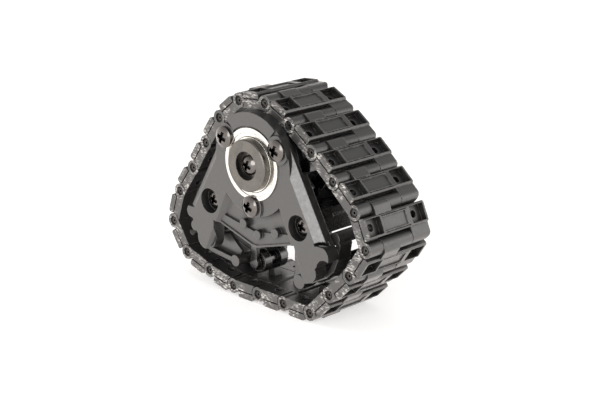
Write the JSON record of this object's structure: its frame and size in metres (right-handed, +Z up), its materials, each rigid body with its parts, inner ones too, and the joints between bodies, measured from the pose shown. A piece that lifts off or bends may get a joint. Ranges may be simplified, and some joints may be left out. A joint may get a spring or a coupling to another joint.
{
  "type": "triangular track unit",
  "caption": "Triangular crawler track unit for a small model vehicle: bearing-mounted drive hub in a side-plate frame with corner skids, rollers and a closed loop of hinged links.",
  "frame": {"origin": "centre of the drive axle, half way across the track", "axes": "+X along the ground in the direction of travel, +Y along the drive axle towards the vehicle, +Z up; the track stands on its three flat bottom links"},
  "size_m": [0.0598, 0.025, 0.0448],
  "materials": {
    "track_plastic": "moulded black-grey nylon with a satin skin, whitish gate scuffs on the ends",
    "frame_plastic": "smooth moulded nylon with a satin sheen",
    "skid_plastic": "smooth moulded acetal",
    "gloss_plastic": "glossy black acetal",
    "bearing_steel": "ground and polished bearing steel",
    "screw_steel": "nickel-plated steel with a cross recess",
    "steel": "blackened steel wire",
    "dark_metal": "dark anodised and turned, fine concentric lines"
  },
  "bodies": {
    "frame": {"front_plate": "frame_plastic", "rear_plate": "frame_plastic", "cross_bar_left": "gloss_plastic", "cross_bar_right": "gloss_plastic", "skid_left": "skid_plastic", "skid_right": "skid_plastic", "roller_carrier": "gloss_plastic", "roller_axles": "steel", "frame_screws": "screw_steel", "bearing_screws": "screw_steel", "front_bearing_outer": "bearing_steel", "rear_bearing_outer": "bearing_steel", "front_bearing_shields": "bearing_steel", "rear_bearing_shields": "bearing_steel", "track_pins": "steel", "track_link_01": "track_plastic", "track_link_02": "track_plastic", "track_link_03": "track_plastic", "track_link_04": "track_plastic", "track_link_05": "track_plastic", "track_link_06": "track_plastic", "track_link_07": "track_plastic", "track_link_08": "track_plastic", "track_link_09": "track_plastic", "track_link_10": "track_plastic", "track_link_11": "track_plastic", "track_link_12": "track_plastic", "track_link_13": "track_plastic", "track_link_14": "track_plastic", "track_link_15": "track_plastic", "track_link_16": "track_plastic", "track_link_17": "track_plastic", "track_link_18": "track_plastic", "track_link_19": "track_plastic", "track_link_20": "track_plastic"},
    "hub": {"hub_sleeve": "dark_metal", "hub_cap": "dark_metal", "drive_drum": "gloss_plastic", "hub_screw": "screw_steel", "front_bearing_inner": "bearing_steel", "rear_bearing_inner": "bearing_steel", "front_bearing_balls": "bearing_steel", "rear_bearing_balls": "bearing_steel"},
    "roller_left": {"roller_1": "gloss_plastic"},
    "roller_right": {"roller_2": "gloss_plastic"}
  },
  "joints": [
    {"name": "hub_spin", "type": "hinge", "parent": "frame", "child": "hub", "pos_m": [0, 0, 0], "axis": [0, 1, 0], "continuous": true},
    {"name": "roller_left_spin", "type": "hinge", "parent": "frame", "child": "roller_left", "pos_m": [-0.0066, 0, -0.02414], "axis": [0, 1, 0], "continuous": true},
    {"name": "roller_right_spin", "type": "hinge", "parent": "frame", "child": "roller_right", "pos_m": [0.0066, 0, -0.02414], "axis": [0, 1, 0], "continuous": true}
  ],
  "couplings": [
    {"joint": "roller_left_spin", "follows": "hub_spin", "ratio": 5.0564},
    {"joint": "roller_right_spin", "follows": "hub_spin", "ratio": 5.0564}
  ]
}
